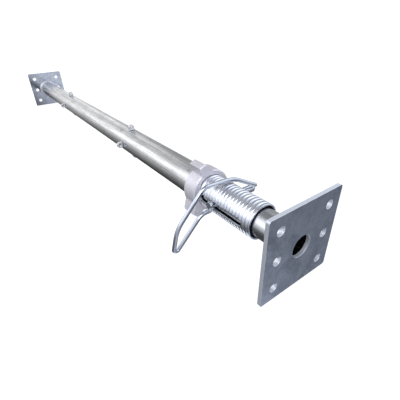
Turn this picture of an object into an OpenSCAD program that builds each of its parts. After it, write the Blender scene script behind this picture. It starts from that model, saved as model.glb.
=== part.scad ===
// Adjustable steel prop, drawn upright in millimetres. +Z points up and the origin is the
// centre of the base plate's underside. A slotted and threaded outer tube stands on the base
// plate, a drilled inner tube carries the head plate, a lugged collar nut rides the thread,
// and a locking pin with a long sprung handle crosses both tubes along X.

/* [End plates] */
// Side of both square end plates
plate_side = 140; // [120:1:180]
// Thickness of both end plates
plate_thickness = 6; // [5:0.5:10]
// Radius of the plates' four corners
plate_corner = 4; // [2:0.5:15]
// Distance between the two columns of fixing holes
column_spacing = 95; // [84:1:110]
// Distance between neighbouring rows of fixing holes
row_spacing = 47; // [42:1:54]
// Diameter of the fixing holes
fixing_hole = 14; // [9:0.5:16]
// Diameter of the hole in the middle of each plate
centre_hole = 35; // [20:1:38]
// Leg of the fillet weld where a tube meets its plate
weld_leg = 6; // [3:0.5:9]

/* [Outer tube] */
// Outside diameter of the outer tube, which is also the crest of its thread
outer_diameter = 60.3; // [59:0.1:64]
// Wall thickness of the outer tube
outer_wall = 3.2; // [2.6:0.1:4]
// Length of the outer tube from the base plate to its open mouth
outer_length = 1398; // [1200:10:1800]
// Distance from the mouth down to the upper end of the slot
slot_inset = 17; // [12:1:30]
// Length of the slot that the locking pin travels in
slot_length = 102; // [90:1:115]
// Bevel at the mouth and at the free end of the inner tube
tube_bevel = 1; // [0.4:0.1:1.5]

/* [Inner tube] */
// Play between the outer tube's bore and the inner tube, on each side
tube_play = 2.8; // [0.5:0.1:4]
// Wall thickness of the inner tube
inner_wall = 3.2; // [2.6:0.1:4]
// Height of the inner tube's free end above the base plate
inner_foot_gap = 61; // [20:1:120]
// Distance from the outer tube's mouth up to the head plate
head_standoff = 63; // [60:1:80]
// Distance from the head plate down to the first pin hole
first_hole = 149; // [135:1:160]
// Distance from one pin hole to the next
hole_pitch = 100; // [80:5:120]
// Least distance from the last pin hole to the inner tube's free end
last_hole_margin = 100; // [60:5:150]

/* [Collar nut] */
// Distance from the mouth down to the nut's upper face
nut_drop = 124; // [120:1:140]
// Height of the nut
nut_height = 32; // [25:1:40]
// Thickness of the nut's drum outside the thread's crests
nut_wall = 8.85; // [7:0.05:11]
// Height of the nut's lugs above the drum
lug_height = 16; // [12:1:20]
// Number of lugs round the nut
lug_count = 3; // [2:1:4]
// Direction of the first lug, counted from +X
lug_angle = 109; // [0:1:120]
// Angle from a lug's direction back to the foot of its ramp
lug_ramp = 32; // [20:1:40]
// Angle from a lug's direction back to the start of its tip
lug_lead = 5; // [3:1:15]
// Angle from a lug's direction on to the outer end of its steep striking face
lug_strike = 7; // [5:1:12]
// Angle from a lug's direction on to the foot of its striking face
lug_strike_foot = 14; // [12:1:20]
// Bevel round the nut's two ends
nut_bevel = 2; // [0.5:0.5:4]

/* [Locking pin] */
// Diameter of the pin's shank
pin_diameter = 14; // [10:0.5:16]
// Length of the shank from the tubes' axis to the end that bears the handle
pin_handle_length = 36; // [34:0.5:42]
// Length of the shank from the tubes' axis to its free tip
pin_tip_length = 67; // [64:1:75]
// Length of the taper at the shank's free tip
pin_taper = 5; // [2:1:8]

/* [Pin handle] */
// Diameter of the wire that the handle is bent from
wire_diameter = 8; // [6:0.5:9]
// Angle at which the handle rises towards the head plate as it crosses the outer tube
handle_rise = 5; // [2:0.5:8]
// Distance from the shank's axis to the wire's where the two join
wire_offset = 2.5; // [0:0.5:3]
// Distance from the tubes' axis to the wire lying on the tube that the lengths below suit
handle_reach = 34.15; // [30:0.05:40]
// Straight length where the wire leaves the shank
start_length = 1.5; // [1:0.5:5]
// Straight length of the leg from the shank to its slight bend
knee_length = 19.5; // [17:0.5:22]
// Straight length of the leg that runs on to the hairpin
out_leg_length = 48.5; // [45:0.5:52]
// Straight length of the leg that runs back from the hairpin
back_leg_length = 36; // [33:0.5:39]
// Straight length from the back leg's slight bend to the shoulder
shoulder_length = 44; // [42:0.5:46]
// Straight length of the bow that lies over the outer tube
bow_length = 32; // [30:0.5:34]
// Straight length of the free end that catches the shank's tip
catch_length = 47; // [43:0.5:47]
// Middle-line radius of the bend where the wire leaves the shank
start_radius = 8; // [6:1:12]
// Middle-line radius of the outward leg's slight bend
knee_radius = 40; // [30:1:50]
// Middle-line radius of the hairpin
hairpin_radius = 5; // [4.5:0.1:6]
// Middle-line radius of the back leg's slight bend
leg_radius = 60; // [50:1:70]
// Middle-line radius of the shoulder
shoulder_radius = 18; // [16:1:20]
// Middle-line radius of the bow's bend
bow_radius = 70; // [65:1:75]

/* [Bracing eyes] */
// Height of the lower ring of bracing eyes
lower_eye_height = 420; // [300:10:600]
// Height of the upper ring of bracing eyes
upper_eye_height = 955; // [800:10:1100]
// Width of an eye, which is also the diameter of its round top
eye_width = 14; // [12:0.5:18]
// Length of an eye along the tube
eye_length = 8; // [5:0.5:12]
// Diameter of the hole through an eye
eye_hole = 7; // [5:0.5:8]
// Height of an eye's hole above the tube
eye_rise = 6.5; // [6:0.5:9]

/* [Hidden] */
$fn = 96;
overcut = 1;
thread_gap = 0.3;
pin_gap = 0.3;
eye_angles = [0, 90, 180, 270];
outer_radius = outer_diameter / 2;
inner_radius = outer_radius - outer_wall - tube_play;
mouth_height = plate_thickness + outer_length;
head_height = mouth_height + head_standoff;
pin_height = head_height - first_hole;
inner_length = head_height - plate_thickness - inner_foot_gap;
hole_count = floor((inner_length - first_hole - last_hole_margin) / hole_pitch) + 1;
slot_top = mouth_height - slot_inset;
slot_bottom = slot_top - slot_length;
pin_way = pin_diameter + 2 * pin_gap;
nut_bottom = mouth_height - nut_drop - nut_height;
nut_radius = outer_radius + nut_wall;
lug_reach = nut_radius + lug_height;
nut_bore = outer_radius + thread_gap;
wire_radius = wire_diameter / 2;
// The pin and its handle keep their shape and grow or shrink with the tube they close over.
pin_fit = (outer_radius + wire_radius) / handle_reach;
shank_start = -pin_fit * pin_handle_length;
shank_end = pin_fit * pin_tip_length;
eye_reach = outer_radius + eye_rise;
// The handle as a bender makes it: each row is a straight length, the radius of the bend
// that follows it and that bend's angle, positive to the left of the way the wire runs.
wire_start = [start_length, start_radius, 36];
knee = [knee_length, knee_radius, 17.5];
hairpin = [out_leg_length, hairpin_radius, -156];
leg_back = [back_leg_length, leg_radius, -26.5];
shoulder = [shoulder_length, shoulder_radius, -54];
bow = [bow_length, bow_radius, -23.5];
catch_end = [catch_length, 0, 0];
handle_bends = [wire_start, knee, hairpin, leg_back, shoulder, bow, catch_end];
handle_runs = [for (run = handle_bends) [pin_fit * run[0], pin_fit * run[1], run[2]]];
rod_sides = 24;
bend_step = 7.5;

// A point in the XY plane given by its radius and its angle.
function polar(radius, angle) = [radius * cos(angle), radius * sin(angle)];

// A cylinder across both tubes along X, at a height.
module crossbar(diameter, length, height) {
  translate([0, 0, height])
    rotate([0, 90, 0])
      cylinder(d = diameter, h = length, center = true);
}

// A tube on the Z axis with a bevelled outer edge at its top, its bottom, or neither.
module tube(radius, wall, length, top_bevel = 0, bottom_bevel = 0) {
  bore = radius - wall;
  rotate_extrude()
    polygon([
      [bore, 0], [radius - bottom_bevel, 0], [radius, bottom_bevel],
      [radius, length - top_bevel], [radius - top_bevel, length], [bore, length]
    ]);
}

// A square plate with round corners, two columns of three fixing holes and a centre hole.
module end_plate() {
  inset = plate_side / 2 - plate_corner;
  difference() {
    union() {
      translate([-plate_side / 2, -inset, 0])
        cube([plate_side, 2 * inset, plate_thickness]);
      translate([-inset, -plate_side / 2, 0])
        cube([2 * inset, plate_side, plate_thickness]);
      for (x = [-inset, inset], y = [-inset, inset])
        translate([x, y, 0])
          cylinder(r = plate_corner, h = plate_thickness);
    }
    translate([0, 0, -overcut])
      cylinder(d = centre_hole, h = plate_thickness + 2 * overcut);
    for (x = [-column_spacing / 2, column_spacing / 2], row = [-1, 0, 1])
      translate([x, row * row_spacing, -overcut])
        cylinder(d = fixing_hole, h = plate_thickness + 2 * overcut);
  }
}

// The fillet weld round a tube that stands on the XY plane.
module fillet_weld(tube_radius) {
  rotate_extrude()
    polygon([[tube_radius, 0], [tube_radius + weld_leg, 0], [tube_radius, weld_leg]]);
}

module base_plate() {
  color("lightslategray")
    end_plate();
}

module base_weld() {
  color("silver")
    translate([0, 0, plate_thickness])
      fillet_weld(outer_radius);
}

// The slot has round ends, so the pin seats in them.
module outer_tube() {
  slot_span = slot_length - pin_way;
  color("gainsboro")
    difference() {
      translate([0, 0, plate_thickness])
        tube(outer_radius, outer_wall, outer_length, top_bevel = tube_bevel);
      translate([0, 0, (slot_top + slot_bottom) / 2])
        cube([outer_diameter + 2 * overcut, pin_way, slot_span], center = true);
      for (end = [slot_bottom + pin_way / 2, slot_top - pin_way / 2])
        crossbar(pin_way, outer_diameter + 2 * overcut, end);
    }
}

// An eye stands on the outer tube with its hole along the tube.
module bracing_eye(height, angle) {
  color("darkgray")
    rotate([0, 0, angle])
      translate([0, 0, height])
        difference() {
          union() {
            translate([eye_reach, 0, 0])
              cylinder(d = eye_width, h = eye_length, center = true);
            translate([eye_reach / 2, 0, 0])
              cube([eye_reach, eye_width, eye_length], center = true);
          }
          translate([eye_reach, 0, 0])
            cylinder(d = eye_hole, h = eye_length + 2 * overcut, center = true);
          cylinder(r = outer_radius, h = eye_length + 2 * overcut, center = true);
        }
}

module inner_tube() {
  color("whitesmoke")
    difference() {
      translate([0, 0, head_height - inner_length])
        tube(inner_radius, inner_wall, inner_length, bottom_bevel = tube_bevel);
      for (hole = [0 : hole_count - 1])
        crossbar(pin_way, 2 * (inner_radius + overcut), pin_height - hole * hole_pitch);
    }
}

module head_plate() {
  color("slategray")
    translate([0, 0, head_height])
      end_plate();
}

module head_weld() {
  color("silver")
    translate([0, 0, head_height])
      mirror([0, 0, 1])
        fillet_weld(inner_radius);
}

// A drum of the nut's height with both ends bevelled.
module bevelled_drum(radius) {
  rotate_extrude()
    polygon([
      [0, 0], [radius - nut_bevel, 0], [radius, nut_bevel],
      [radius, nut_height - nut_bevel], [radius - nut_bevel, nut_height], [0, nut_height]
    ]);
}

// A lug rises from the drum by a long ramp and ends in a steep face for the hammer.
module nut_lug(direction) {
  beyond = lug_reach + nut_bevel;
  lug_foot = nut_radius - 2 * nut_bevel;
  intersection() {
    bevelled_drum(lug_reach);
    linear_extrude(height = nut_height)
      polygon([
        [0, 0],
        polar(lug_foot, direction - lug_ramp),
        polar(beyond, direction - lug_lead),
        polar(beyond, direction + lug_strike),
        polar(lug_foot, direction + lug_strike_foot)
      ]);
  }
}

module collar_nut() {
  color("thistle")
    translate([0, 0, nut_bottom])
      difference() {
        union() {
          bevelled_drum(nut_radius);
          for (lug = [0 : lug_count - 1])
            nut_lug(lug_angle + lug * 360 / lug_count);
        }
        translate([0, 0, -overcut])
          cylinder(r = nut_bore, h = nut_height + 2 * overcut);
      }
}

// The shank is a plain bar with a tapered tip, turned to lie along X.
module pin_shank() {
  shank_radius = pin_diameter / 2;
  tip_radius = shank_radius / 2;
  shank_length = shank_end - shank_start;
  color("silver")
    translate([shank_start, 0, pin_height])
      rotate([0, 90, 0])
        rotate_extrude()
          polygon([
            [0, 0], [shank_radius, 0], [shank_radius, shank_length - pin_taper],
            [tip_radius, shank_length], [0, shank_length]
          ]);
}

// A place along a rod's middle line is [x, y, heading]. These give the place at the end of
// a straight length and at the end of a bend.
function after_straight(place, length) =
  place + length * [cos(place[2]), sin(place[2]), 0];
function after_bend(place, radius, turn) =
  place + [0, 0, turn] + sign(turn) * radius
    * [sin(place[2] + turn) - sin(place[2]), cos(place[2]) - cos(place[2] + turn), 0];

// The places at both ends of every straight length and at even steps round every bend.
function rod_places(runs, place = [0, 0, 0], run = 0) =
  run == len(runs) ? [] :
  let (
    bend = after_straight(place, runs[run][0]),
    radius = runs[run][1],
    turn = runs[run][2],
    steps = ceil(abs(turn) / bend_step)
  )
  concat(
    [for (step = [0 : steps]) after_bend(bend, radius, turn * step / max(1, steps))],
    rod_places(runs, after_bend(bend, radius, turn), run + 1)
  );

// A rod of the given radius follows the runs from the origin along +X in the XY plane.
module bent_rod(radius, runs) {
  places = concat([[0, 0, 0]], rod_places(runs));
  last = len(places) - 1;
  sides = rod_sides;
  points = [
    for (place = places)
      for (side = [0 : sides - 1])
        let (across = radius * cos(side * 360 / sides))
        [
          place[0] - across * sin(place[2]),
          place[1] + across * cos(place[2]),
          radius * sin(side * 360 / sides)
        ]
  ];
  skin = [
    for (ring = [0 : last - 1])
      for (side = [0 : sides - 1])
        let (start = ring * sides, next = (side + 1) % sides)
        [start + side, start + sides + side, start + sides + next, start + next]
  ];
  start_cap = [for (side = [0 : sides - 1]) side];
  end_cap = [for (side = [0 : sides - 1]) (last + 1) * sides - 1 - side];
  polyhedron(points = points, faces = concat([start_cap, end_cap], skin));
}

// The handle leaves the shank's end, doubles back in a hairpin and bows over the tube.
module pin_handle() {
  color("lightsteelblue")
    translate([0, 0, pin_height])
      rotate([handle_rise, 0, 0])
        translate([shank_start, -pin_fit * wire_offset, 0])
          rotate([0, 0, 180])
            bent_rod(wire_radius, handle_runs);
}

base_plate();
base_weld();
outer_tube();
bracing_eye(lower_eye_height, eye_angles[0]);  // lower_eye_1
bracing_eye(lower_eye_height, eye_angles[1]);  // lower_eye_2
bracing_eye(lower_eye_height, eye_angles[2]);  // lower_eye_3
bracing_eye(lower_eye_height, eye_angles[3]);  // lower_eye_4
bracing_eye(upper_eye_height, eye_angles[0]);  // upper_eye_1
bracing_eye(upper_eye_height, eye_angles[1]);  // upper_eye_2
bracing_eye(upper_eye_height, eye_angles[2]);  // upper_eye_3
bracing_eye(upper_eye_height, eye_angles[3]);  // upper_eye_4
inner_tube();
head_plate();
head_weld();
collar_nut();
pin_shank();
pin_handle();
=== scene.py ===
"""Looks for an adjustable steel prop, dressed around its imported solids.

The prop stands upright in metres: the base plate lies on the floor at z = 0, the head plate is
at the top, the locking pin runs along X and its handle bows over the outer tube on the +Y side.
"""

import logging
import math
from dataclasses import dataclass, field, replace
from enum import Enum
from typing import Any, Callable, Sequence

import bmesh
import bpy
from mathutils import Matrix, Vector


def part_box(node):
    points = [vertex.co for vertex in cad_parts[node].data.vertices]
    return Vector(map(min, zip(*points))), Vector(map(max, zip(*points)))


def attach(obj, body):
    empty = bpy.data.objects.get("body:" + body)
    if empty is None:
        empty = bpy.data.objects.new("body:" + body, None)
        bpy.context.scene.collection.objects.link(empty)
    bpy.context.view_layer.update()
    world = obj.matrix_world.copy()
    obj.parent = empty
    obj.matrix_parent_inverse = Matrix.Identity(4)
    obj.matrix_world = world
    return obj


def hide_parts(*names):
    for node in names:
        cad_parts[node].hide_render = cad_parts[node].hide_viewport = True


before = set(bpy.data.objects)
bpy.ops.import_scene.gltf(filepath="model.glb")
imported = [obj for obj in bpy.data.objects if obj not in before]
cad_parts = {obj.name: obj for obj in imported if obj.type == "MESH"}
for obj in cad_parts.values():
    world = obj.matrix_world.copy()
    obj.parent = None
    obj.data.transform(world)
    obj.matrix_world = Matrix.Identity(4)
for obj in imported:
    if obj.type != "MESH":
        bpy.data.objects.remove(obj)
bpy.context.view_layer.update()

MM = 0.001
FULL_TURN = 2 * math.pi
HALF_TURN_DEG = 180.0
# Input and output numbers of the Map Range and Mix nodes, whose socket names repeat.
FROM_LOW, FROM_HIGH, TO_LOW, TO_HIGH = 1, 2, 3, 4
FACTOR, FLOAT_A, FLOAT_B, COLOUR_A, COLOUR_B = 0, 2, 3, 6, 7
MIXED_FLOAT, MIXED_COLOUR = 0, 2
WHITE = (1.0, 1.0, 1.0, 1.0)
log = logging.getLogger("steel_prop")


# ---------------------------------------------------------------- colour and nodes


def linear(hex_colour: str) -> tuple[float, float, float, float]:
    """Turns an sRGB hex colour into the linear values that shaders work with.

    Args:
        hex_colour: the colour as "#RRGGBB".

    Returns:
        Red, green and blue as linear numbers from 0 to 1, and an opacity of 1.
    """
    digits = hex_colour.lstrip("#")
    shares = [int(digits[i : i + 2], 16) / 255 for i in (0, 2, 4)]
    red, green, blue = (
        share / 12.92 if share <= 0.04045 else ((share + 0.055) / 1.055) ** 2.4
        for share in shares
    )
    return red, green, blue, 1.0


def add_node(
    tree: bpy.types.NodeTree,
    kind: str,
    inputs: dict[str | int, Any] | None = None,
    **settings: Any,
) -> bpy.types.Node:
    """Adds one shader node with its settings, values and links.

    Args:
        tree: the node tree that gets the node.
        kind: the node's type, such as "ShaderNodeMath".
        inputs: for each input socket, a plain value or the output socket to link from.
        settings: attributes of the node, such as operation="MULTIPLY".

    Returns:
        The new node.
    """
    made = tree.nodes.new(kind)
    for name, value in settings.items():
        setattr(made, name, value)
    for name, value in (inputs or {}).items():
        socket = made.inputs[name]
        if isinstance(value, bpy.types.NodeSocket):
            tree.links.new(value, socket)
        else:
            socket.default_value = value
    return made


def empty_tree(owner: bpy.types.Material | bpy.types.World) -> bpy.types.NodeTree:
    """Switches on the nodes of a material or the world and clears them.

    Args:
        owner: the material or world.

    Returns:
        Its empty node tree.
    """
    owner.use_nodes = True
    owner.node_tree.nodes.clear()
    return owner.node_tree


def set_stops(
    ramp: bpy.types.ColorRamp, stops: Sequence[tuple[float, tuple[float, ...]]]
) -> None:
    """Gives a colour ramp its stops.

    Args:
        ramp: the ramp to fill.
        stops: position from 0 to 1 and linear colour for each stop, in order.
    """
    while len(ramp.elements) > 1:
        ramp.elements.remove(ramp.elements[-1])
    ramp.elements[0].position, ramp.elements[0].color = stops[0][0], stops[0][1]
    for position, colour in stops[1:]:
        ramp.elements.new(position).color = colour


class Grain(Enum):
    """The way the marks of making run over a surface, as the scale of their noise."""

    NONE = (1.0, 1.0, 1.0)
    ALONG_Z = (1.0, 1.0, 0.02)
    ALONG_X = (0.03, 1.0, 1.0)


# Where each noise begins to count and where it counts in full.
CLOUDS_BEGIN, CLOUDS_FULL = 0.35, 0.68
LINES_BEGIN, LINES_FULL = 0.3, 0.7
RUBS_BEGIN, RUBS_FULL = 0.56, 0.66
# How far the normal is upright where a plate's edge begins, and where it has begun in full.
EDGE_BEGINS, EDGE_FULL = 0.8, 0.5
RUB_MM = 9.0
RUB_LENGTHENED = (1.0, 1.0, 0.35)
RUB_COLOUR = "#5C5A58"
BUMP_STRENGTH = 0.35


@dataclass(frozen=True)
class ZincFinish:
    """Steel under a zinc coat: a bright metal with spangle, drawn marks and dull patches.

    Lengths are in millimetres, and the zinc keeps the shader's default IOR as a metal. Each
    share says how far one cause takes the coat from bright and smooth to dull and rough. A
    metal share under 1 stands for the white oxide that scatters light on a thick coat.
    """

    name: str
    bright: str
    dull: str
    spangle_mm: float
    grain_mm: float
    smooth: float
    rough: float
    bump_mm: float
    grain: Grain = Grain.NONE
    spangle_share: float = 0.35
    grain_share: float = 0.5
    patch_mm: float = 45.0
    patch_share: float = 0.45
    scuff_share: float = 0.0
    painted_edge_highlight: bool = False
    # Within this radius of the Z axis the colour turns to the bore's dark grey, as painted shade.
    painted_shade_bore_mm: float = 0.0
    metal_share: float = 1.0

    def build(self) -> bpy.types.Material:
        """Builds the material.

        Returns:
            The finished material.
        """
        material = bpy.data.materials.new(self.name)
        tree = empty_tree(material)
        place = add_node(tree, "ShaderNodeTexCoord")
        in_mm = add_node(
            tree,
            "ShaderNodeVectorMath",
            {0: place.outputs["Object"], 1: (1 / MM, 1 / MM, 1 / MM)},
            operation="MULTIPLY",
        )
        # Zinc freezes in crystals, each of which mirrors a little more or less.
        crystals = add_node(
            tree,
            "ShaderNodeTexVoronoi",
            {"Vector": in_mm.outputs[0], "Scale": 1 / self.spangle_mm, "Randomness": 1.0},
            feature="F1",
        )
        crystal = add_node(tree, "ShaderNodeSeparateColor", {0: crystals.outputs["Color"]})
        # The draw bench or the mill leaves lines that run one way.
        along = add_node(
            tree,
            "ShaderNodeMapping",
            {"Vector": in_mm.outputs[0], "Scale": self.grain.value},
        )
        lines = add_node(
            tree,
            "ShaderNodeTexNoise",
            {
                "Vector": along.outputs[0],
                "Scale": 1 / self.grain_mm,
                "Detail": 3.0,
                "Roughness": 0.6,
            },
        )
        # White oxide dulls the coat in broad clouds.
        clouds = add_node(
            tree,
            "ShaderNodeTexNoise",
            {
                "Vector": in_mm.outputs[0],
                "Scale": 1 / self.patch_mm,
                "Detail": 6.0,
                "Roughness": 0.62,
                "Distortion": 0.4,
            },
        )
        cloud = add_node(
            tree,
            "ShaderNodeMapRange",
            {"Value": clouds.outputs[0], FROM_LOW: CLOUDS_BEGIN, FROM_HIGH: CLOUDS_FULL},
        )
        sparkle = add_node(
            tree,
            "ShaderNodeMath",
            {0: crystal.outputs[0], 1: self.spangle_share},
            operation="MULTIPLY",
        )
        drawn = add_node(
            tree,
            "ShaderNodeMapRange",
            {
                "Value": lines.outputs[0],
                FROM_LOW: LINES_BEGIN,
                FROM_HIGH: LINES_FULL,
                TO_HIGH: self.grain_share,
            },
        )
        worn = add_node(
            tree,
            "ShaderNodeMath",
            {0: sparkle.outputs[0], 1: drawn.outputs[0]},
            operation="ADD",
        )
        dullness = add_node(
            tree,
            "ShaderNodeMath",
            {0: cloud.outputs[0], 1: self.patch_share, 2: worn.outputs[0]},
            operation="MULTIPLY_ADD",
            use_clamp=True,
        )
        colour = add_node(
            tree,
            "ShaderNodeMix",
            {
                FACTOR: dullness.outputs[0],
                COLOUR_A: linear(self.bright),
                COLOUR_B: linear(self.dull),
            },
            data_type="RGBA",
        )
        roughness = add_node(
            tree,
            "ShaderNodeMapRange",
            {"Value": dullness.outputs[0], TO_LOW: self.smooth, TO_HIGH: self.rough},
        )
        tint, mattness = colour.outputs[MIXED_COLOUR], roughness.outputs[0]
        if self.scuff_share:
            tint = self._scuffed(tree, in_mm.outputs[0], tint)
        # Painted highlight: a plate's upright walls are coloured pale.
        if self.painted_edge_highlight:
            tint, mattness = self._paint_edge_highlight(tree, place.outputs["Normal"], tint, mattness)
        # Painted shade: inside the tube the colour is darkened.
        if self.painted_shade_bore_mm:
            tint = self._painted_shade_inside(tree, in_mm.outputs[0], tint)
        height = add_node(
            tree,
            "ShaderNodeMath",
            {0: lines.outputs[0], 1: crystals.outputs["Distance"]},
            operation="ADD",
        )
        bump = add_node(
            tree,
            "ShaderNodeBump",
            {
                "Strength": BUMP_STRENGTH,
                "Distance": self.bump_mm * MM,
                "Height": height.outputs[0],
            },
        )
        shader = add_node(
            tree,
            "ShaderNodeBsdfPrincipled",
            {
                "Base Color": tint,
                "Metallic": self.metal_share,
                "Roughness": mattness,
                "Normal": bump.outputs[0],
            },
        )
        add_node(tree, "ShaderNodeOutputMaterial", {"Surface": shader.outputs[0]})
        return material

    def _scuffed(
        self, tree: bpy.types.NodeTree, in_mm: bpy.types.NodeSocket, tint: bpy.types.NodeSocket
    ) -> bpy.types.NodeSocket:
        """Adds the dark rubs that clamps and other props leave.

        Args:
            tree: the material's tree.
            in_mm: the place on the object in millimetres.
            tint: the colour so far.

        Returns:
            The colour with the rubs on it.
        """
        stretched = add_node(
            tree, "ShaderNodeMapping", {"Vector": in_mm, "Scale": RUB_LENGTHENED}
        )
        rubs = add_node(
            tree,
            "ShaderNodeTexNoise",
            {
                "Vector": stretched.outputs[0],
                "Scale": 1 / RUB_MM,
                "Detail": 8.0,
                "Roughness": 0.7,
                "Distortion": 1.2,
            },
        )
        mask = add_node(
            tree,
            "ShaderNodeMapRange",
            {
                "Value": rubs.outputs[0],
                FROM_LOW: RUBS_BEGIN,
                FROM_HIGH: RUBS_FULL,
                TO_HIGH: self.scuff_share,
            },
        )
        darker = add_node(
            tree,
            "ShaderNodeMix",
            {FACTOR: mask.outputs[0], COLOUR_A: tint, COLOUR_B: linear(RUB_COLOUR)},
            data_type="RGBA",
        )
        return darker.outputs[MIXED_COLOUR]

    def _painted_shade_inside(
        self, tree: bpy.types.NodeTree, in_mm: bpy.types.NodeSocket, tint: bpy.types.NodeSocket
    ) -> bpy.types.NodeSocket:
        """Paints shade inside a tube that stands on the Z axis, by darkening the coat there.

        Args:
            tree: the material's tree.
            in_mm: the place on the object in millimetres.
            tint: the colour outside.

        Returns:
            The colour with the painted shade inside in it.
        """
        flat = add_node(
            tree,
            "ShaderNodeVectorMath",
            {0: in_mm, 1: (1.0, 1.0, 0.0)},
            operation="MULTIPLY",
        )
        away = add_node(tree, "ShaderNodeVectorMath", {0: flat.outputs[0]}, operation="LENGTH")
        inside = add_node(
            tree,
            "ShaderNodeMath",
            {0: away.outputs["Value"], 1: self.painted_shade_bore_mm},
            operation="LESS_THAN",
        )
        mixed = add_node(
            tree,
            "ShaderNodeMix",
            {FACTOR: inside.outputs[0], COLOUR_A: tint, COLOUR_B: linear(PAINTED_SHADE_BORE_ZINC.bright)},
            data_type="RGBA",
        )
        return mixed.outputs[MIXED_COLOUR]

    def _paint_edge_highlight(
        self,
        tree: bpy.types.NodeTree,
        normal: bpy.types.NodeSocket,
        tint: bpy.types.NodeSocket,
        mattness: bpy.types.NodeSocket,
    ) -> tuple[bpy.types.NodeSocket, bpy.types.NodeSocket]:
        """Gives the upright walls of a flat plate the matt zinc of sheared and drilled edges, with
        a pale colour that is painted highlight.

        Args:
            tree: the material's tree.
            normal: the surface's normal in the object's own axes.
            tint: the colour of the flat faces.
            mattness: the roughness of the flat faces.

        Returns:
            The colour and the roughness with the edges in them.
        """
        parts = add_node(tree, "ShaderNodeSeparateXYZ", {0: normal})
        flatness = add_node(
            tree, "ShaderNodeMath", {0: parts.outputs["Z"]}, operation="ABSOLUTE"
        )
        edge = add_node(
            tree,
            "ShaderNodeMapRange",
            {"Value": flatness.outputs[0], FROM_LOW: EDGE_BEGINS, FROM_HIGH: EDGE_FULL},
        )
        pale = add_node(
            tree,
            "ShaderNodeMix",
            {FACTOR: edge.outputs[0], COLOUR_A: tint, COLOUR_B: linear(CUT_EDGE_HIGHLIGHT_ZINC.bright)},
            data_type="RGBA",
        )
        matt = add_node(
            tree,
            "ShaderNodeMix",
            {FACTOR: edge.outputs[0], FLOAT_A: mattness, FLOAT_B: CUT_EDGE_HIGHLIGHT_ZINC.rough},
            data_type="FLOAT",
        )
        return pale.outputs[MIXED_COLOUR], matt.outputs[MIXED_FLOAT]


# Sawn and drilled edges are matt from the thick zinc and coloured pale from all sides; the pale
# colour is painted highlight of edges that catch the light.
CUT_EDGE_HIGHLIGHT_ZINC = ZincFinish(
    name="matt_zinc_with_painted_highlight_on_cut_edges",
    bright="#DEE1E7",
    dull="#C2C5CC",
    spangle_mm=2.0,
    grain_mm=1.0,
    smooth=0.5,
    rough=0.6,
    bump_mm=0.08,
)
# Hot-dip zinc over drawn tube: satin, with fine lines along the tube and dark rubs.
TUBE_ZINC = ZincFinish(
    name="hot_dip_zinc_on_drawn_tube",
    bright="#EAEBED",
    dull="#B4B5B8",
    spangle_mm=2.4,
    grain=Grain.ALONG_Z,
    grain_mm=2.2,
    smooth=0.15,
    rough=0.28,
    bump_mm=0.02,
    spangle_share=0.12,
    grain_share=0.85,
    patch_share=0.35,
    scuff_share=0.35,
    # Inside the inner tube the colour turns dark grey, which is painted shade.
    painted_shade_bore_mm=21.5,
)
# The same zinc where the thread was rolled: bright crests and no lines.
THREAD_ZINC = ZincFinish(
    name="hot_dip_zinc_on_rolled_thread",
    bright="#F0F1F5",
    dull="#C6C9D2",
    spangle_mm=3.0,
    grain_mm=2.0,
    smooth=0.14,
    rough=0.26,
    bump_mm=0.02,
    spangle_share=0.2,
)
# Zinc on flat plate runs thicker: larger spangle and cloudy oxide.
PLATE_ZINC = ZincFinish(
    name="hot_dip_zinc_on_rolled_plate",
    bright="#D6DAE1",
    dull="#979DA8",
    spangle_mm=6.0,
    grain_mm=5.0,
    smooth=0.16,
    rough=0.32,
    bump_mm=0.05,
    spangle_share=0.25,
    grain_share=0.25,
    patch_mm=34.0,
    patch_share=0.7,
    # The plate's upright walls are coloured pale as painted highlight.
    painted_edge_highlight=True,
)
# The foot plate hung lowest in the bath, so its zinc ran smooth and mirrors what stands above.
FOOT_ZINC = replace(
    PLATE_ZINC,
    name="smooth_hot_dip_zinc_on_foot_plate",
    smooth=0.1,
    rough=0.2,
    bump_mm=0.015,
    patch_share=0.4,
)
# A sand casting keeps its skin under the zinc, so it is pale, dull and pebbly.
CAST_ZINC = ZincFinish(
    name="zinc_on_sand_cast_iron",
    bright="#EAE8EE",
    dull="#CFCDD7",
    spangle_mm=2.2,
    grain_mm=1.4,
    smooth=0.42,
    rough=0.58,
    bump_mm=0.18,
    metal_share=0.6,
)
# Bright zinc plating on cold-drawn bar: thin and glossy, with a hint of the drawing lines.
BAR_ZINC = ZincFinish(
    name="bright_zinc_plate_on_drawn_bar",
    bright="#CACED6",
    dull="#8E939C",
    spangle_mm=2.5,
    grain=Grain.ALONG_X,
    grain_mm=1.2,
    smooth=0.06,
    rough=0.14,
    bump_mm=0.004,
    spangle_share=0.1,
    grain_share=0.3,
    patch_share=0.2,
)
# Weld metal and small pressings under zinc: uneven, pale and half matt.
WELD_ZINC = ZincFinish(
    name="hot_dip_zinc_on_weld_bead",
    bright="#EFF0F3",
    dull="#B4B6BC",
    spangle_mm=2.0,
    grain_mm=1.5,
    smooth=0.26,
    rough=0.42,
    bump_mm=0.1,
    metal_share=0.6,
)
# Inside the tube the zinc is coloured dark grey, which is painted shade of the tube's hollow.
PAINTED_SHADE_BORE_ZINC = ZincFinish(
    name="zinc_darkened_as_painted_shade_inside_tube",
    bright="#6E7075",
    dull="#3C3D41",
    spangle_mm=5.0,
    grain=Grain.ALONG_Z,
    grain_mm=2.5,
    smooth=0.5,
    rough=0.7,
    bump_mm=0.05,
)


# ---------------------------------------------------------------- mesh tools


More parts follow.
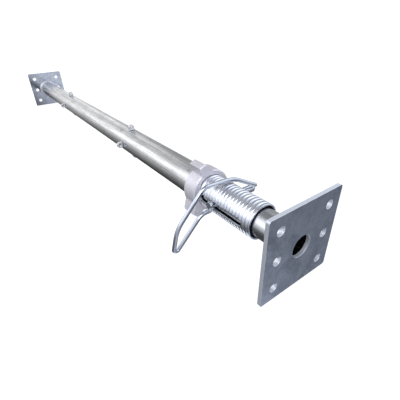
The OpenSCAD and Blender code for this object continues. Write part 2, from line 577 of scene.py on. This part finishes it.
def mesh_object(
    name: str, mesh: bmesh.types.BMesh, material: bpy.types.Material
) -> bpy.types.Object:
    """Turns a bmesh into a smooth-shaded object in the scene.

    Args:
        name: the piece's name.
        mesh: the mesh, which is freed here.
        material: the finish of the whole piece.

    Returns:
        The new object.
    """
    bmesh.ops.recalc_face_normals(mesh, faces=mesh.faces)
    data = bpy.data.meshes.new(name)
    mesh.to_mesh(data)
    mesh.free()
    data.materials.append(material)
    piece = bpy.data.objects.new(name, data)
    bpy.context.scene.collection.objects.link(piece)
    data.shade_smooth()
    return piece


def apply_modifiers(piece: bpy.types.Object) -> None:
    """Replaces a piece's mesh by the result of its modifiers.

    Args:
        piece: an object of this script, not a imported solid.
    """
    bpy.context.view_layer.update()
    graph = bpy.context.evaluated_depsgraph_get()
    data = bpy.data.meshes.new_from_object(piece.evaluated_get(graph))
    piece.modifiers.clear()
    piece.data = data


def edge_sharpened(piece: bpy.types.Object, angle_deg: float) -> None:
    """Keeps edges above an angle sharp and smooths the rest.

    Args:
        piece: the object to shade.
        angle_deg: the least angle of a sharp edge.
    """
    with bpy.context.temp_override(
        object=piece,
        active_object=piece,
        selected_objects=[piece],
        selected_editable_objects=[piece],
    ):
        bpy.ops.object.shade_smooth_by_angle(angle=math.radians(angle_deg))


def grid_faces(
    mesh: bmesh.types.BMesh, rows: Sequence[Sequence[bmesh.types.BMVert]], ring: bool = False
) -> None:
    """Joins rows of vertices with quads.

    Args:
        mesh: the mesh that holds the vertices.
        rows: rings of vertices of one length, each a closed ring.
        ring: whether the last row joins the first.
    """
    pairs = list(zip(rows, rows[1:]))
    if ring:
        pairs.append((rows[-1], rows[0]))
    for low, high in pairs:
        count = len(low)
        for i in range(count):
            j = (i + 1) % count
            mesh.faces.new((low[i], low[j], high[j], high[i]))


def revolved(
    profile: Callable[[float], Sequence[tuple[float, float]]], segments: int
) -> bmesh.types.BMesh:
    """Sweeps a closed outline round the Z axis.

    Args:
        profile: gives the outline's points as radius and height for an angle in radians.
        segments: the number of steps round the axis.

    Returns:
        A closed ring-shaped mesh.
    """
    mesh = bmesh.new()
    columns = []
    for step in range(segments):
        angle = FULL_TURN * step / segments
        columns.append(
            [
                mesh.verts.new((radius * math.cos(angle), radius * math.sin(angle), height))
                for radius, height in profile(angle)
            ]
        )
    grid_faces(mesh, columns, ring=True)
    return mesh


DISH_RINGS = 4


def swept_rod(
    places: Sequence[tuple[Vector, Vector]], across: Vector, radius: float, sides: int, dish: float
) -> bmesh.types.BMesh:
    """Sweeps a round section along a plane path, with a small hollow dish in each end.

    Args:
        places: points along the middle line with the direction of travel at each.
        across: the unit normal of the path's plane.
        radius: the rod's radius.
        sides: the number of flats round the rod.
        dish: the size of the hollow, which is about two thirds of it deep and wide.

    Returns:
        A closed mesh.
    """
    quarter = math.pi / 2
    depths = [
        dish * (1 - math.sin(quarter * ring / DISH_RINGS)) for ring in range(1, DISH_RINGS + 1)
    ]
    (start, start_way), (end, end_way) = places[0], places[-1]
    rings = [(start + start_way * depth, start_way, radius - depth) for depth in depths]
    rings += [(place, way, radius) for place, way in places[1:-1]]
    rings += [(end - end_way * depth, end_way, radius - depth) for depth in reversed(depths)]
    angles = [FULL_TURN * flat / sides for flat in range(sides)]
    mesh = bmesh.new()
    rows = []
    for centre, way, size in rings:
        side = across.cross(way)
        rows.append(
            [
                mesh.verts.new(centre + (side * math.cos(angle) + across * math.sin(angle)) * size)
                for angle in angles
            ]
        )
    grid_faces(mesh, rows)
    mesh.faces.new(rows[0])
    mesh.faces.new(rows[-1])
    return mesh


# ---------------------------------------------------------------- sub-assemblies


@dataclass
class Dresser:
    """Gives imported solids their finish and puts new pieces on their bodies."""

    made: list[str] = field(default_factory=list)
    merge_gap: float = 0.01 * MM
    flat_deg: float = 1.0
    edge_deg: float = 35.0
    edge_segments: int = 3
    smooth_deg: float = 40.0
    large_face_weight: int = 100

    def finish_solid(self, node: str, material: bpy.types.Material, edge_mm: float) -> None:
        """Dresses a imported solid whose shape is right.

        Args:
            node: the solid's name.
            material: its finish.
            edge_mm: the radius that handling and the zinc bath give its edges.
        """
        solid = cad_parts[node]
        solid.data.materials.clear()
        solid.data.materials.append(material)
        # The triangles of each flat are joined first, so that only real edges are rounded.
        weld = solid.modifiers.new("joined", "WELD")
        weld.merge_threshold = self.merge_gap
        flats = solid.modifiers.new("flats", "DECIMATE")
        flats.decimate_type = "DISSOLVE"
        flats.angle_limit = math.radians(self.flat_deg)
        edge = solid.modifiers.new("worn_edge", "BEVEL")
        edge.width = edge_mm * MM
        edge.segments = self.edge_segments
        edge.limit_method = "ANGLE"
        edge.angle_limit = math.radians(self.edge_deg)
        # A flat mirrors as a flat only if the roundings beside it don't tilt its normals.
        even = solid.modifiers.new("flat_faces", "WEIGHTED_NORMAL")
        even.mode = "FACE_AREA"
        even.weight = self.large_face_weight
        even.keep_sharp = True
        edge_sharpened(solid, self.smooth_deg)
        self.made.append(node)
        log.info("dressed solid %s with %s", node, material.name)

    def place(self, piece: bpy.types.Object, body: str, slot: str, *nodes: str) -> None:
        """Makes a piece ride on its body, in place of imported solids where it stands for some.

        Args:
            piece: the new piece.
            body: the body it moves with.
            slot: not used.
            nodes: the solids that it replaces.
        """
        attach(piece, body)
        if nodes:
            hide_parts(*nodes)
        self.made.append(piece.name)
        log.info("made %s on body %s, %d faces", piece.name, body, len(piece.data.polygons))


class TubeFace(Enum):
    """The finish of a face of the outer tube, as its material's number."""

    DRAWN = 0
    ROLLED = 1
    BORE = 2


@dataclass
class OuterTube:
    """The outer tube with its rolled thread, its slot and its seam."""

    wall: float = 3.2 * MM
    pitch: float = 7.0 * MM
    thread_depth: float = 1.3 * MM
    thread_length: float = 152.0 * MM
    valley_power: float = 2.6
    run_out: float = 10.0 * MM
    slot_width: float = 14.6 * MM
    slot_top_inset: float = 17.0 * MM
    slot_length: float = 102.0 * MM
    rim: float = 0.6 * MM
    seam_angle_deg: float = 62.0
    seam_width: float = 3.0 * MM
    seam_height: float = 0.5 * MM
    segments: int = 144
    steps_per_pitch: int = 12
    plain_rows: int = 24
    slot_end_steps: int = 12
    cutter_reach: float = 1.3
    bore_play: float = 0.1 * MM
    smooth_deg: float = 50.0

    def __post_init__(self) -> None:
        """Reads the tube's size and place from its solid."""
        low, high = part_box("outer_tube")
        self.radius = (high.x - low.x) / 2
        self.foot = low.z
        self.mouth = high.z

    def surface(self, angle: float, height: float) -> float:
        """Gives the radius of the outer surface at one place.

        Args:
            angle: the angle round the axis in radians.
            height: the height in metres.

        Returns:
            The radius with the seam, or the thread, in it.
        """
        below = self.mouth - height
        if below > self.thread_length:
            away = (angle - math.radians(self.seam_angle_deg) + math.pi) % FULL_TURN - math.pi
            rise = math.exp(-((away * self.radius / (self.seam_width / 2)) ** 2))
            near_thread = min(1.0, (below - self.thread_length) / self.run_out)
            return self.radius - self.seam_height * near_thread * (1 - rise)
        turn = height / self.pitch - angle / FULL_TURN
        valley = (0.5 - 0.5 * math.cos(FULL_TURN * turn)) ** self.valley_power
        fade = min(1.0, (self.thread_length - below) / self.run_out)
        return self.radius - self.thread_depth * fade * valley

    def heights(self) -> list[float]:
        """Gives the heights of the rows, which are close together along the thread.

        Returns:
            The heights from the foot to the edge of the mouth's rim.
        """
        start = self.mouth - self.thread_length
        rows = [
            self.foot + (start - self.foot) * row / self.plain_rows
            for row in range(self.plain_rows)
        ]
        count = round(self.thread_length / self.pitch * self.steps_per_pitch)
        end = self.mouth - self.rim
        rows += [start + (end - start) * row / count for row in range(count + 1)]
        return rows

    def outline(self, angle: float) -> list[tuple[float, float]]:
        """Gives the outline of the tube's wall at one angle.

        Args:
            angle: the angle round the axis in radians.

        Returns:
            The radius and height of each point, up the outside and down the bore.
        """
        bore = self.radius - self.wall
        outside = [(self.surface(angle, height), height) for height in self.heights()]
        lip = [(outside[-1][0] - self.rim, self.mouth), (bore + self.rim, self.mouth)]
        return outside + lip + [(bore, self.mouth - self.rim), (bore, self.foot)]

    def build(
        self,
        dresser: Dresser,
        plain: bpy.types.Material,
        rolled: bpy.types.Material,
        inside: bpy.types.Material,
        sawn: bpy.types.Material,
    ) -> None:
        """Builds the tube.

        Args:
            dresser: puts the piece on its body.
            plain: the finish of the drawn tube.
            rolled: the finish of the thread.
            inside: the finish of the bore, darkened as painted shade.
            sawn: the finish of the slot's walls, coloured pale as painted highlight.
        """
        mesh = revolved(self.outline, self.segments)
        piece = mesh_object("outer_tube_threaded", mesh, plain)
        piece.data.materials.append(rolled)
        piece.data.materials.append(inside)
        bore = self.radius - self.wall
        thread_foot = self.mouth - self.thread_length
        for face in piece.data.polygons:
            away = math.hypot(face.center.x, face.center.y)
            # The bore's faces take the dark zinc, which is painted shade inside the tube.
            if away < bore + self.bore_play:
                face.material_index = TubeFace.BORE.value
            elif face.center.z > thread_foot and away > bore + self.rim:
                face.material_index = TubeFace.ROLLED.value
            else:
                face.material_index = TubeFace.DRAWN.value
        self._cut_slot(piece, sawn)
        edge_sharpened(piece, self.smooth_deg)
        dresser.place(piece, "outer", "galvanised_tube", "outer_tube")

    def _cut_slot(self, piece: bpy.types.Object, sawn: bpy.types.Material) -> None:
        """Cuts the slot through both walls along X.

        Args:
            piece: the tube.
            sawn: the finish of the slot's walls.
        """
        top = self.mouth - self.slot_top_inset - self.slot_width / 2
        low = self.mouth - self.slot_top_inset - self.slot_length + self.slot_width / 2
        half, reach = self.slot_width / 2, self.radius * self.cutter_reach
        turns = [math.pi * step / self.slot_end_steps for step in range(self.slot_end_steps + 1)]
        outline = [(half * math.cos(turn), top + half * math.sin(turn)) for turn in turns]
        outline += [(-half * math.cos(turn), low - half * math.sin(turn)) for turn in turns]
        mesh = bmesh.new()
        ends = [[mesh.verts.new((x, y, z)) for y, z in outline] for x in (-reach, reach)]
        grid_faces(mesh, ends)
        for end in ends:
            mesh.faces.new(end)
        cutter = mesh_object("slot_cutter", mesh, sawn)
        cut = piece.modifiers.new("slot", "BOOLEAN")
        cut.operation = "DIFFERENCE"
        cut.solver = "EXACT"
        # The slot's walls take the sawn finish, whose pale colour is painted highlight.
        cut.material_mode = "TRANSFER"
        cut.object = cutter
        apply_modifiers(piece)
        bpy.data.objects.remove(cutter)


@dataclass
class EndPlate:
    """A square end plate and the fillet weld that joins it to its tube."""

    node: str
    weld_node: str
    body: str
    tube_radius: float
    faces_up: bool
    leg: float = 5.6 * MM
    ripple_count: int = 34
    ripple: float = 0.5 * MM
    ripple_power: float = 0.7
    steps_per_ripple: int = 6
    slow_wander: float = 0.25 * MM
    quick_wander: float = 0.15 * MM
    crown: float = 0.098
    root: float = 0.3 * MM
    face_steps: int = 6
    edge_mm: float = 0.9
    smooth_deg: float = 60.0

    def __post_init__(self) -> None:
        """Finds where the weld sits on the plate, and which way it points."""
        low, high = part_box(self.weld_node)
        self.seat, self.way = (low.z, 1.0) if self.faces_up else (high.z, -1.0)

    def fillet(self, angle: float) -> list[tuple[float, float]]:
        """Gives the bead's cross-section at one angle, fuller between two ripples.

        Args:
            angle: the angle round the axis in radians.

        Returns:
            The radius and height of each point, along the bead's face and back in the tube.
        """
        turn = angle / FULL_TURN * self.ripple_count
        fullness = (turn % 1.0) ** self.ripple_power
        wander = self.slow_wander * math.sin(3 * angle)
        wander += self.quick_wander * math.sin(7 * angle + 1.0)
        leg = self.leg - self.ripple * (1 - fullness) + wander
        points = []
        for step in range(self.face_steps + 1):
            share = step / self.face_steps
            bulge = math.sin(math.pi * share) * leg * self.crown
            out, up = share * leg + bulge, (1 - share) * leg + bulge
            points.append((self.tube_radius + out, self.seat + self.way * up))
        inner = self.tube_radius - self.root
        return points + [(inner, self.seat), (inner, self.seat + self.way * leg)]

    def build(self, dresser: Dresser, zinc: bpy.types.Material, bead: bpy.types.Material) -> None:
        """Dresses the plate and lays its weld.

        Args:
            dresser: puts the pieces on their body.
            zinc: the plate's finish.
            bead: the weld's finish.
        """
        dresser.finish_solid(self.node, zinc, self.edge_mm)
        mesh = revolved(self.fillet, self.ripple_count * self.steps_per_ripple)
        piece = mesh_object(self.weld_node + "_bead", mesh, bead)
        edge_sharpened(piece, self.smooth_deg)
        dresser.place(piece, self.body, "weld_bead", self.weld_node)


@dataclass
class PackedPart:
    """A sub-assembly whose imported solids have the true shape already."""

    nodes: tuple[str, ...]
    edge_mm: float

    def build(self, dresser: Dresser, finish: bpy.types.Material) -> None:
        """Dresses the solids.

        Args:
            dresser: puts the finish on.
            finish: the finish of all of them.
        """
        for node in self.nodes:
            dresser.finish_solid(node, finish, self.edge_mm)


@dataclass
class InnerTube(PackedPart):
    """The drilled tube that slides in the outer one."""

    nodes: tuple[str, ...] = ("inner_tube",)
    edge_mm: float = 0.4


@dataclass
class CollarNut(PackedPart):
    """The cast nut with its three hammer lugs."""

    nodes: tuple[str, ...] = ("collar_nut",)
    edge_mm: float = 1.2


@dataclass
class BracingEyes(PackedPart):
    """The two rings of four eyes on the outer tube."""

    nodes: tuple[str, ...] = tuple(
        f"{ring}_eye_{number}" for ring in ("lower", "upper") for number in range(1, 5)
    )
    edge_mm: float = 1.6


@dataclass
class LockingPin:
    """The round pin and the bent wire handle that is welded beside its end."""

    shank_edge_mm: float = 0.8
    wire_radius: float = 3.6 * MM
    wire_sides: int = 32
    wire_dish: float = 1.2 * MM
    rise_deg: float = 5.0
    side_step: float = 11.0 * MM
    overlap: float = 4.5 * MM
    catch_lift: float = 7.0 * MM
    catch_start: float = -50.0 * MM
    catch_end: float = -95.0 * MM
    catch_steps: int = 10
    bead_radius: float = 2.0 * MM
    bead_sides: int = 16
    bead_dish: float = 1.6 * MM
    bead_steps: int = 8
    bead_beside: float = -3.4 * MM
    bead_above: float = 2.9 * MM
    bead_wave: float = 0.25 * MM
    bead_wave_turn: float = 9.0
    smooth_deg: float = 50.0
    # Each is a straight length in mm, then a bend's radius in mm and angle in degrees, which
    # is positive to the left.
    bends: tuple[tuple[float, float, float], ...] = (
        (10.0, 20.0, 50.0),
        (60.5, 5.0, -150.0),
        (23.5, 60.0, -29.0),
        (54.5, 18.0, -54.0),
        (35.0, 70.0, -24.5),
        (42.0, 0.0, 0.0),
    )
    bend_step_deg: float = 4.0

    def places(self) -> list[tuple[Vector, Vector]]:
        """Follows the bends.

        Returns:
            Points along the wire's middle line, in the plane of the handle, with directions.
        """
        here, heading = Vector((0.0, 0.0, 0.0)), 0.0
        found = [(here.copy(), Vector((1.0, 0.0, 0.0)))]
        for straight, bend_radius, bend_deg in self.bends:
            way = Vector((math.cos(heading), math.sin(heading), 0.0))
            here = here + way * straight * MM
            found.append((here.copy(), way))
            side = math.copysign(bend_radius * MM, bend_deg)
            steps = math.ceil(abs(bend_deg) / self.bend_step_deg)
            for step in range(1, steps + 1):
                turned = heading + math.radians(bend_deg) * step / steps
                shift = Vector(
                    (
                        math.sin(turned) - math.sin(heading),
                        math.cos(heading) - math.cos(turned),
                        0.0,
                    )
                )
                found.append(
                    (here + shift * side, Vector((math.cos(turned), math.sin(turned), 0.0)))
                )
            if steps:
                here = found[-1][0].copy()
            heading += math.radians(bend_deg)
        return self._lifted(found)

    def _lifted(self, flat: list[tuple[Vector, Vector]]) -> list[tuple[Vector, Vector]]:
        """Sets the catch end out of the plane, so that it snaps over the pin's tip.

        Args:
            flat: the middle line in the handle's plane, with directions.

        Returns:
            The middle line with its last part raised step by step.
        """
        last, way = flat[-1]
        before = flat[-2][0]
        shares = [step / self.catch_steps for step in range(1, self.catch_steps + 1)]
        run = flat[:-1] + [(before.lerp(last, share), way) for share in shares]
        raised = []
        for place, heading in run:
            share = (place.x - self.catch_start) / (self.catch_end - self.catch_start)
            share = min(max(share, 0.0), 1.0)
            up = self.catch_lift * share * share * (3 - 2 * share)
            raised.append((place + Vector((0.0, 0.0, up)), heading))
        return raised

    def build(self, dresser: Dresser, bar: bpy.types.Material, bead: bpy.types.Material) -> None:
        """Dresses the shank, bends the handle and welds the two together.

        Args:
            dresser: puts the pieces on their body.
            bar: the finish of shank and wire.
            bead: the finish of the weld between them.
        """
        dresser.finish_solid("pin_shank", bar, self.shank_edge_mm)
        low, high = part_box("pin_shank")
        end_face = Vector((low.x, 0.0, (low.z + high.z) / 2))
        to_place = (
            Matrix.Translation(end_face)
            @ Matrix.Rotation(math.radians(self.rise_deg), 4, "X")
            @ Matrix.Translation((self.overlap, -self.side_step, 0.0))
            @ Matrix.Rotation(math.pi, 4, "Z")
        )
        turn = to_place.to_3x3()
        path = [(to_place @ place, turn @ way) for place, way in self.places()]
        across = turn @ Vector((0.0, 0.0, 1.0))
        mesh = swept_rod(path, across, self.wire_radius, self.wire_sides, self.wire_dish)
        piece = mesh_object("pin_handle_wire", mesh, bar)
        edge_sharpened(piece, self.smooth_deg)
        dresser.place(piece, "locking_pin", "zinc_plated_bar", "pin_handle")
        self._weld(dresser, to_place, bead)

    def _weld(self, dresser: Dresser, to_place: Matrix, bead: bpy.types.Material) -> None:
        """Lays the two short beads in the grooves between the shank and the wire beside it.

        Args:
            dresser: puts the pieces on their body.
            to_place: turns the handle's own frame into the prop's.
            bead: the beads' finish.
        """
        turn = to_place.to_3x3()
        along, across = turn @ Vector((1.0, 0.0, 0.0)), turn @ Vector((0.0, 0.0, 1.0))
        for name, side in (("pin_weld_above", 1.0), ("pin_weld_below", -1.0)):
            path = []
            for step in range(self.bead_steps + 1):
                share = step / self.bead_steps
                wave = self.bead_wave * math.sin(self.bead_wave_turn * share + side)
                own = Vector(
                    (self.overlap * share, self.bead_beside + wave, side * self.bead_above)
                )
                path.append((to_place @ own, along))
            mesh = swept_rod(path, across, self.bead_radius, self.bead_sides, self.bead_dish)
            dresser.place(mesh_object(name, mesh, bead), "locking_pin", "weld_bead")


# ---------------------------------------------------------------- studio


def seen_directly(tree: bpy.types.NodeTree) -> bpy.types.NodeSocket:
    """Finds whether a ray comes straight from the eye, a mirror or glass.

    Args:
        tree: the tree that asks.

    Returns:
        A socket that is 1 for such rays and 0 for the others.
    """
    path = add_node(tree, "ShaderNodeLightPath")
    either = add_node(
        tree,
        "ShaderNodeMath",
        {0: path.outputs["Is Camera Ray"], 1: path.outputs["Is Glossy Ray"]},
        operation="MAXIMUM",
    )
    all_three = add_node(
        tree,
        "ShaderNodeMath",
        {0: either.outputs[0], 1: path.outputs["Is Transmission Ray"]},
        operation="MAXIMUM",
    )
    return all_three.outputs[0]


# The strength of the brightest card. A ramp's colour ends at 1, so it holds shares of this.
BRIGHTEST = 2.0


@dataclass(frozen=True)
class StudioRing:
    """What stands round the prop at one height, as its metal sees it.

    The height is the sine of the angle above the horizon. Each stop is a bearing from +X in
    degrees and a brightness, and the tint is the colour of that part of the studio.
    """

    height: float
    tint: str
    stops: tuple[tuple[float, float], ...]

    def ramp(self, tree: bpy.types.NodeTree, share: bpy.types.NodeSocket) -> bpy.types.NodeSocket:
        """Builds the ring as a ramp.

        Args:
            tree: the world's tree.
            share: the bearing as a share of the whole round.

        Returns:
            The ring's colour at each bearing.
        """
        made = add_node(tree, "ShaderNodeValToRGB", {0: share})
        made.color_ramp.interpolation = "EASE"
        red, green, blue, opaque = linear(self.tint)
        closed = (*self.stops, (HALF_TURN_DEG, self.stops[0][1]))
        stops = []
        for bearing, brightness in closed:
            place = (bearing + HALF_TURN_DEG) / (2 * HALF_TURN_DEG)
            level = brightness / BRIGHTEST
            stops.append((place, (red * level, green * level, blue * level, opaque)))
        set_stops(made.color_ramp, stops)
        return made.outputs[0]


# From near straight below to near straight above. Bright cards stand round a bearing of 145
# and, from the horizon up, round 45. Dark flags stand round -90 low down and round -50 at and
# above the horizon, so that the plates and the wire show dark. The walls are faintly blue.
RINGS: tuple[StudioRing, ...] = (
    StudioRing(
        -0.966,
        "#FFFFFF",
        (
            (-180, 0.85), (-150, 0.5), (-125, 0.34), (-100, 0.2), (-75, 0.2), (-42, 0.25),
            (-30, 0.6), (-14, 1.25), (4, 1.0), (14, 0.7), (22, 1.15), (40, 1.0), (65, 1.05),
            (90, 1.05), (113, 1.0), (137, 1.0), (158, 1.05),
        ),
    ),
    StudioRing(
        -0.914,
        "#FFFFFF",
        (
            (-180, 0.85), (-150, 0.45), (-125, 0.26), (-100, 0.12), (-75, 0.12), (-42, 0.15),
            (-28, 0.5), (-12, 1.2), (4, 0.75), (15, 0.5), (35, 1.05), (50, 1.4), (68, 1.2),
            (88, 0.85), (110, 0.95), (135, 1.5), (158, 1.75), (172, 1.15),
        ),
    ),
    StudioRing(
        -0.81,
        "#FFFEFF",
        (
            (-180, 0.85), (-160, 0.5), (-140, 0.3), (-118, 0.15), (-95, 0.05), (-70, 0.06),
            (-42, 0.12), (-20, 0.55), (-8, 0.7), (5, 0.42), (28, 0.4), (50, 0.6), (75, 0.8),
            (100, 0.78), (118, 0.9), (136, 1.6), (156, 2.0), (170, 1.3),
        ),
    ),
    StudioRing(
        -0.5,
        "#F4F9FF",
        (
            (-180, 0.8), (-165, 0.42), (-143, 0.14), (-113, 0.06), (-85, 0.08), (-58, 0.06),
            (-43, 0.1), (-22, 0.5), (7, 0.45), (25, 0.4), (38, 0.65), (67, 0.28), (90, 0.3),
            (106, 0.4), (117, 0.9), (131, 2.0), (162, 2.0), (173, 1.2),
        ),
    ),
    StudioRing(
        -0.05,
        "#F0F6FF",
        (
            (-180, 0.9), (-150, 0.25), (-122, 0.12), (-106, 1.6), (-84, 1.9), (-70, 1.0),
            (-60, 0.12), (-43, 0.12), (-25, 0.5), (0, 1.1), (20, 1.6), (50, 2.0), (68, 1.6),
            (84, 0.6), (107, 0.4), (119, 1.0), (132, 1.9), (162, 1.9), (173, 1.2),
        ),
    ),
    StudioRing(
        0.42,
        "#E0EAFF",
        (
            (-180, 0.8), (-142, 0.2), (-115, 0.4), (-92, 1.1), (-76, 1.2), (-62, 0.85),
            (-51, 0.37), (-40, 0.3), (-26, 0.27), (-8, 0.5), (15, 1.4), (45, 1.7), (68, 1.3),
            (88, 0.55), (107, 0.5), (132, 1.4), (160, 1.5), (173, 1.1),
        ),
    ),
    StudioRing(
        0.71,
        "#F2F5FF",
        (
            (-180, 1.0), (-90, 0.8), (-60, 0.45), (-40, 0.35), (-20, 0.45), (20, 1.2),
            (120, 1.1),
        ),
    ),
    StudioRing(
        0.97,
        "#EEF3FF",
        (
            (-180, 0.6), (-140, 0.15), (-56, 0.02), (-52, 0.05), (-49, 1.1), (-40, 1.2),
            (-33, 0.9), (45, 0.9), (120, 0.85),
        ),
    ),
)


@dataclass
class Studio:
    """The pale floor, the soft light, what the metal mirrors, and the camera."""

    floor_size: float = 390.0
    floor_colour: str = "#E9E9E9"
    floor_glow: float = 0.45
    room_colour: str = "#E6E8EC"
    room_strength: float = 0.9
    lamp_size: float = 3.0
    lamp_watts: float = 60.0
    lamp_colour: tuple[float, float, float] = (1.0, 0.99, 0.97)
    lamp_place: tuple[float, float, float] = (-1.6, 2.2, 3.6)
    lamp_aim: tuple[float, float, float] = (0.0, 0.0, 0.7)
    camera_place: tuple[float, float, float] = (-0.28, 0.2601, 1.6421)
    camera_aim: tuple[float, float, float] = (-0.0192, -0.0175, 1.27)
    camera_roll_deg: float = -124.68
    lens_mm: float = 26.53
    sensor_mm: float = 36.0
    nearest: float = 0.01
    furthest: float = 200.0

    def camera(self) -> None:
        """Places the camera above the head plate, looking down the prop."""
        data = bpy.data.cameras.new("camera")
        data.lens = self.lens_mm
        data.sensor_width = self.sensor_mm
        data.clip_start, data.clip_end = self.nearest, self.furthest
        camera = bpy.data.objects.new("camera", data)
        bpy.context.scene.collection.objects.link(camera)
        place, aim = Vector(self.camera_place), Vector(self.camera_aim)
        ahead = (aim - place).normalized()
        level_right = ahead.cross(Vector((0.0, 0.0, 1.0))).normalized()
        level_up = level_right.cross(ahead)
        roll = math.radians(self.camera_roll_deg)
        up = level_up * math.cos(roll) + level_right * math.sin(roll)
        right = ahead.cross(up)
        turn = Matrix((right, up, -ahead)).transposed()
        camera.matrix_world = Matrix.Translation(place) @ turn.to_4x4()
        bpy.context.scene.camera = camera

    def floor(self) -> None:
        """Lays the floor, white to the eye and still darkened by the prop's shadow."""
        mesh = bmesh.new()
        bmesh.ops.create_grid(mesh, x_segments=1, y_segments=1, size=self.floor_size / 2)
        material = bpy.data.materials.new("pale_floor")
        tree = empty_tree(material)
        paint = add_node(tree, "ShaderNodeBsdfDiffuse", {"Color": linear(self.floor_colour)})
        glow = add_node(
            tree, "ShaderNodeEmission", {"Color": WHITE, "Strength": self.floor_glow}
        )
        both = add_node(tree, "ShaderNodeAddShader", {0: paint.outputs[0], 1: glow.outputs[0]})
        seen = seen_directly(tree)
        mixed = add_node(
            tree, "ShaderNodeMixShader", {0: seen, 1: paint.outputs[0], 2: both.outputs[0]}
        )
        add_node(tree, "ShaderNodeOutputMaterial", {"Surface": mixed.outputs[0]})
        floor = mesh_object("floor", mesh, material)
        floor.visible_glossy = False

    def lamps(self) -> None:
        """Hangs one broad soft lamp."""
        data = bpy.data.lights.new("soft_lamp", "AREA")
        data.shape = "DISK"
        data.size = self.lamp_size
        data.energy = self.lamp_watts
        data.color = self.lamp_colour
        lamp = bpy.data.objects.new("soft_lamp", data)
        lamp.location = self.lamp_place
        lamp.rotation_mode = "QUATERNION"
        aim = Vector(self.lamp_aim) - lamp.location
        lamp.rotation_quaternion = aim.to_track_quat("-Z", "Y")
        bpy.context.scene.collection.objects.link(lamp)

    def room(self) -> None:
        """Makes the surroundings: plain light for all, and cards and flags for metal to mirror."""
        world = bpy.data.worlds.new("studio_room")
        bpy.context.scene.world = world
        tree = empty_tree(world)
        way = add_node(tree, "ShaderNodeTexCoord")
        parts = add_node(tree, "ShaderNodeSeparateXYZ", {0: way.outputs["Generated"]})
        bearing = add_node(
            tree,
            "ShaderNodeMath",
            {0: parts.outputs["Y"], 1: parts.outputs["X"]},
            operation="ARCTAN2",
        )
        share = add_node(
            tree,
            "ShaderNodeMapRange",
            {"Value": bearing.outputs[0], FROM_LOW: -math.pi, FROM_HIGH: math.pi},
        )
        mirrored = RINGS[0].ramp(tree, share.outputs[0])
        for below, ring in zip(RINGS, RINGS[1:]):
            rise = add_node(
                tree,
                "ShaderNodeMapRange",
                {"Value": parts.outputs["Z"], FROM_LOW: below.height, FROM_HIGH: ring.height},
                interpolation_type="SMOOTHSTEP",
            )
            mixed = add_node(
                tree,
                "ShaderNodeMix",
                {
                    FACTOR: rise.outputs[0],
                    COLOUR_A: mirrored,
                    COLOUR_B: ring.ramp(tree, share.outputs[0]),
                },
                data_type="RGBA",
            )
            mirrored = mixed.outputs[MIXED_COLOUR]
        for_metal = add_node(
            tree, "ShaderNodeBackground", {"Color": mirrored, "Strength": BRIGHTEST}
        )
        plain = add_node(
            tree,
            "ShaderNodeBackground",
            {"Color": linear(self.room_colour), "Strength": self.room_strength},
        )
        white = add_node(tree, "ShaderNodeBackground", {"Color": WHITE, "Strength": 1.0})
        path = add_node(tree, "ShaderNodeLightPath")
        lit = add_node(
            tree,
            "ShaderNodeMixShader",
            {0: path.outputs["Is Glossy Ray"], 1: plain.outputs[0], 2: for_metal.outputs[0]},
        )
        clear = add_node(
            tree,
            "ShaderNodeMath",
            {0: path.outputs["Is Camera Ray"], 1: path.outputs["Is Transmission Ray"]},
            operation="MAXIMUM",
        )
        final = add_node(
            tree,
            "ShaderNodeMixShader",
            {0: clear.outputs[0], 1: lit.outputs[0], 2: white.outputs[0]},
        )
        add_node(tree, "ShaderNodeOutputWorld", {"Surface": final.outputs[0]})

    def build(self) -> None:
        """Builds the whole studio."""
        self.camera()
        self.floor()
        self.lamps()
        self.room()
        bpy.context.scene.view_settings.view_transform = "Standard"


def main() -> None:
    """Builds the studio, then dresses the prop from its base to its head."""
    logging.basicConfig(level=logging.INFO, format="%(name)s: %(message)s")
    Studio().build()
    tube_zinc, thread_zinc, painted_shade_bore_zinc, cut_edge_highlight_zinc = (
        finish.build() for finish in (TUBE_ZINC, THREAD_ZINC, PAINTED_SHADE_BORE_ZINC, CUT_EDGE_HIGHLIGHT_ZINC)
    )
    plate_zinc, foot_zinc, cast_zinc, bar_zinc, weld_zinc = (
        finish.build() for finish in (PLATE_ZINC, FOOT_ZINC, CAST_ZINC, BAR_ZINC, WELD_ZINC)
    )
    dresser = Dresser()
    outer = OuterTube()
    inner_low, inner_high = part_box("inner_tube")
    inner_radius = (inner_high.x - inner_low.x) / 2
    EndPlate("base_plate", "base_weld", "outer", outer.radius, True).build(
        dresser, foot_zinc, weld_zinc
    )
    outer.build(dresser, tube_zinc, thread_zinc, painted_shade_bore_zinc, cut_edge_highlight_zinc)
    BracingEyes().build(dresser, weld_zinc)
    CollarNut().build(dresser, cast_zinc)
    InnerTube().build(dresser, tube_zinc)
    LockingPin().build(dresser, bar_zinc, weld_zinc)
    EndPlate("head_plate", "head_weld", "inner", inner_radius, False).build(
        dresser, plate_zinc, weld_zinc
    )
    log.info("%d pieces in all", len(dresser.made))
    bpy.context.view_layer.update()


if __name__ == "__main__":
    main()
